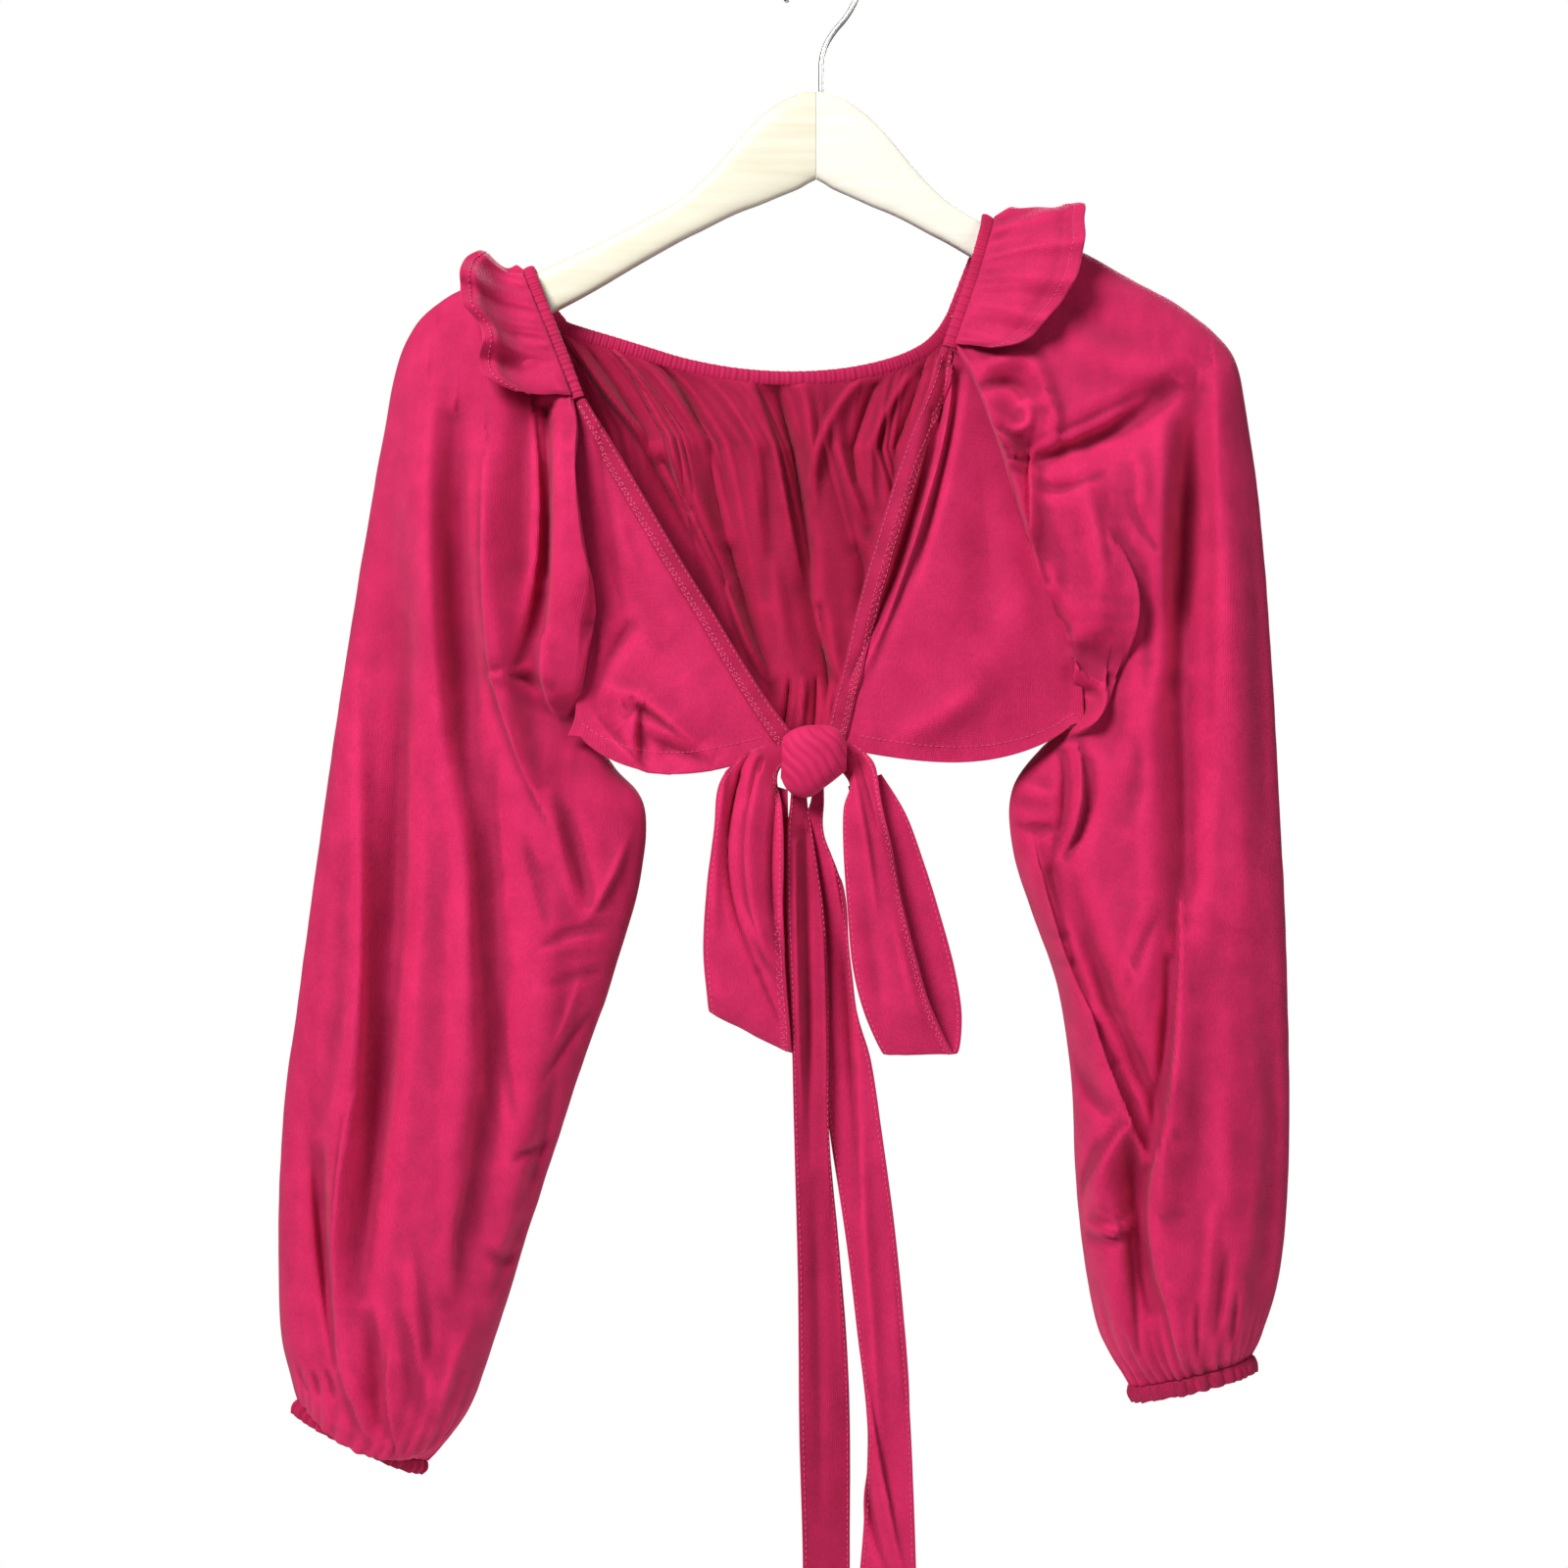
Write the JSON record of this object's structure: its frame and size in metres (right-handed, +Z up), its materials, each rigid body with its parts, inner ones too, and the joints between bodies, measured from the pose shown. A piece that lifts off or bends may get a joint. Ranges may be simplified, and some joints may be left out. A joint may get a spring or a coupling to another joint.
{
  "type": "off-shoulder top on a wooden hanger",
  "caption": "Cropped crimson off-shoulder top with balloon sleeves, shoulder ruffles and a tie front in a bow, hanging on a pale wooden hanger with a wire hook.",
  "frame": {"origin": "inner top of the hanger's hook, where the rail bears, in the hanger's middle plane", "axes": "+X to the viewer's right (the wearer's left), +Y to the back of the top, +Z up; the fronts and the bow face -Y"},
  "size_m": [0.5963, 0.1066, 0.9934],
  "materials": {
    "cloth": "matt, soft fine knit",
    "gathered_cloth": "matt, finely gathered knit",
    "wood_left": "satin clear lacquer",
    "wood_right": "satin clear lacquer",
    "wire": "bright plated wire"
  },
  "bodies": {
    "root": {"back_panel": "cloth", "front_left": "cloth", "front_right": "cloth", "front_band_left": "cloth", "front_band_right": "cloth", "sleeve_left": "cloth", "sleeve_right": "cloth", "ruffle_left": "cloth", "ruffle_right": "cloth", "bow_loop_left": "cloth", "bow_loop_right": "cloth", "tail_left": "cloth", "tail_right": "cloth", "neck_casing_back": "gathered_cloth", "neck_casing_left": "gathered_cloth", "neck_casing_right": "gathered_cloth", "cuff_left": "gathered_cloth", "cuff_right": "gathered_cloth", "knot": "gathered_cloth", "hanger_arm_left": "wood_left", "hanger_arm_right": "wood_right", "hanger_hook": "wire"}
  },
  "joints": []
}
